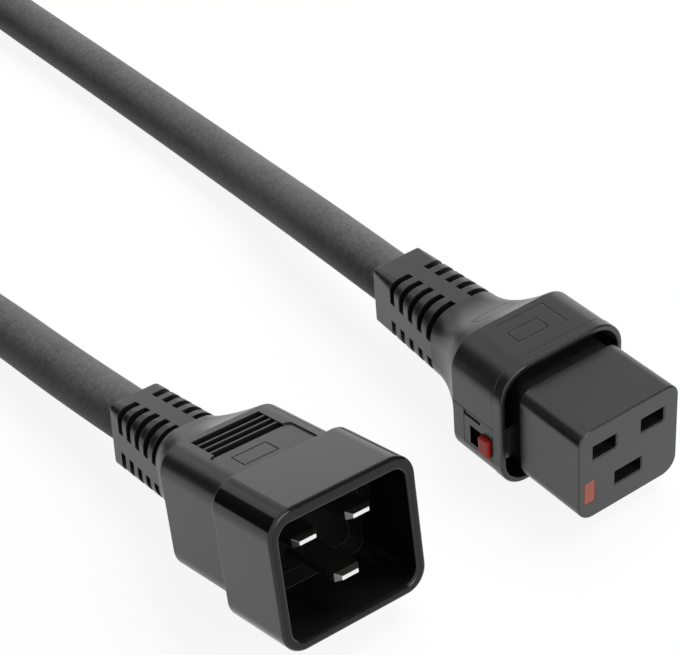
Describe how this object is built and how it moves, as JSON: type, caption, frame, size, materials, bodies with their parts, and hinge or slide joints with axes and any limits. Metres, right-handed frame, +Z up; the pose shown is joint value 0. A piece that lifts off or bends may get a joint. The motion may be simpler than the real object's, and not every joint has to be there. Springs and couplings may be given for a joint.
{
  "type": "locking power connector lead",
  "caption": "Locking power connector with contact slots in a square face, a sliding side release, and a cord to a shrouded plug.",
  "frame": {"origin": "on the surface the connector lies on, under the middle of the connector", "axes": "+X right seen from the connector's face, +Y from the face towards the cord, +Z up"},
  "size_m": [0.1537, 0.4039, 0.0384],
  "materials": {
    "housing_plastic": "fine satin moulding, charcoal",
    "insert_plastic": "smooth satin moulding, charcoal",
    "shroud_plastic": "smooth semi-gloss moulding, charcoal",
    "release_red": "satin red moulding",
    "spring_steel": "spring steel",
    "contact_brass": "stamped brass",
    "pin_nickel": "bright nickel plate",
    "inner_plastic": "plain inner moulding",
    "core_brown": "insulated wire",
    "core_blue": "insulated wire",
    "core_green": "insulated wire",
    "cord_sheath": "matt sheath with a fine grain",
    "tie_fabric": "woven hook and loop band"
  },
  "bodies": {
    "lead": {"contact_carrier": "insert_plastic", "front_frame": "housing_plastic", "hood": "housing_plastic", "lock_cover": "housing_plastic", "return_spring": "spring_steel", "lock_plate": "spring_steel", "line_contact": "contact_brass", "neutral_contact": "contact_brass", "earth_contact": "contact_brass", "carrier_cap": "insert_plastic", "inner_mould": "inner_plastic", "line_core": "core_brown", "neutral_core": "core_blue", "earth_core": "core_green", "jacket_end": "cord_sheath", "plug_shroud": "shroud_plastic", "plug_hood": "housing_plastic", "pin_bridge": "shroud_plastic", "line_pin": "pin_nickel", "neutral_pin": "pin_nickel", "earth_pin": "pin_nickel", "plug_inner_mould": "inner_plastic", "plug_jacket_end": "cord_sheath", "plug_line_core": "core_brown", "plug_neutral_core": "core_blue", "plug_earth_core": "core_green", "cord_run_connector": "cord_sheath", "cord_coil": "cord_sheath", "cord_run_plug": "cord_sheath", "coil_tie": "tie_fabric"},
    "release": {"release_slide": "release_red"}
  },
  "joints": [
    {"name": "release_travel", "type": "slide", "parent": "lead", "child": "release", "axis": [0, 1, 0], "range_m": [0, 0.0035], "stiffness_N_per_m": 800, "springref_m": -0.002, "deforming": ["return_spring"]}
  ]
}
